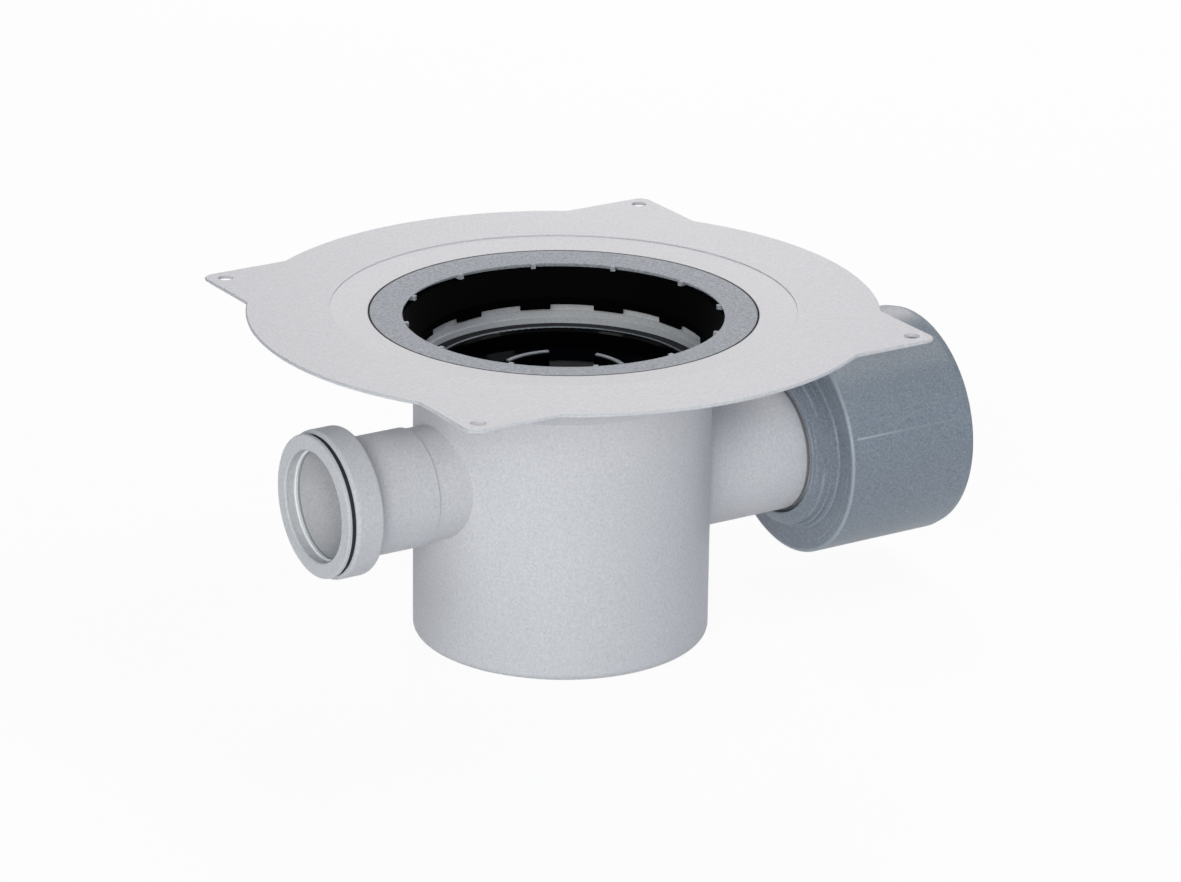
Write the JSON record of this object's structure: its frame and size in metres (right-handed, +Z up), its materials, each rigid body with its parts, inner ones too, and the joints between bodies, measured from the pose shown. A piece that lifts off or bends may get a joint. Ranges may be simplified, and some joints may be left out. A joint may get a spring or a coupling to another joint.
{
  "type": "floor drain body",
  "caption": "Floor drain body with a round flange and corner ears, a side inlet socket, a lift-out bell trap and a stepped outlet adapter.",
  "frame": {"origin": "on the pot's axis at its flat underside", "axes": "+Z up along the pot's axis, +X along the outlet, -X along the inlet"},
  "size_m": [0.2727, 0.2316, 0.1255],
  "materials": {
    "moulded_light_grey": "fine matte moulding",
    "ring_grey": "satin",
    "seal_black": "soft satin",
    "trap_black": "glossy",
    "adapter_grey": "satin to glossy"
  },
  "bodies": {
    "root": {"drain_body": "moulded_light_grey", "clamp_ring": "ring_grey", "throat_seal": "seal_black", "trap_cup": "trap_black", "trap_seal": "seal_black", "trap_bell": "trap_black", "inlet_seal": "seal_black", "inlet_cap": "moulded_light_grey", "outlet_adapter": "adapter_grey", "spigot_seal": "seal_black", "mouth_seal": "seal_black"}
  },
  "joints": []
}
